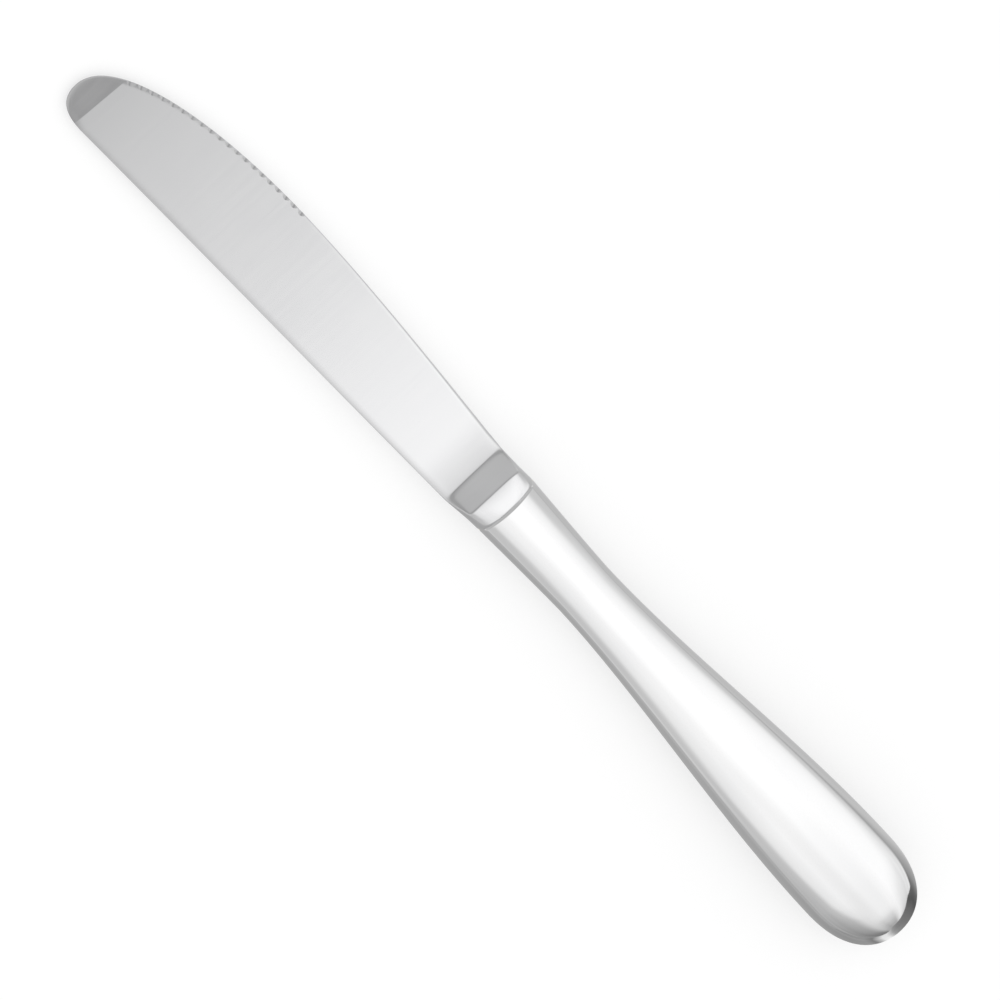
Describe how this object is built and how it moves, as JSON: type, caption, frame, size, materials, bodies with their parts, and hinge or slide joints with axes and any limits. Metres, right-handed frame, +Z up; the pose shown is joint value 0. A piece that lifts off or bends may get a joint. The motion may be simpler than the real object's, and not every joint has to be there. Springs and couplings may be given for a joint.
{
  "type": "table knife",
  "caption": "Stainless table knife with a round-tipped blade, a partly serrated edge, an oval bolster and a hollow pear-shaped handle made of half shells.",
  "frame": {"origin": "on the table surface under the middle of the knife as it lies at rest", "axes": "+X along the knife towards the tip, +Y towards the spine of the blade, +Z up from the table"},
  "size_m": [0.235, 0.0214, 0.0131],
  "materials": {
    "blade_steel": "fine satin grind, bright polished",
    "handle_steel": "mirror polished stainless steel",
    "braze": "silver-coloured braze, polished flush",
    "cement": "matt cement"
  },
  "bodies": {
    "root": {"blade": "blade_steel", "handle_shell_front": "handle_steel", "handle_shell_back": "handle_steel", "seam_braze": "braze", "tang_cement": "cement"}
  },
  "joints": []
}
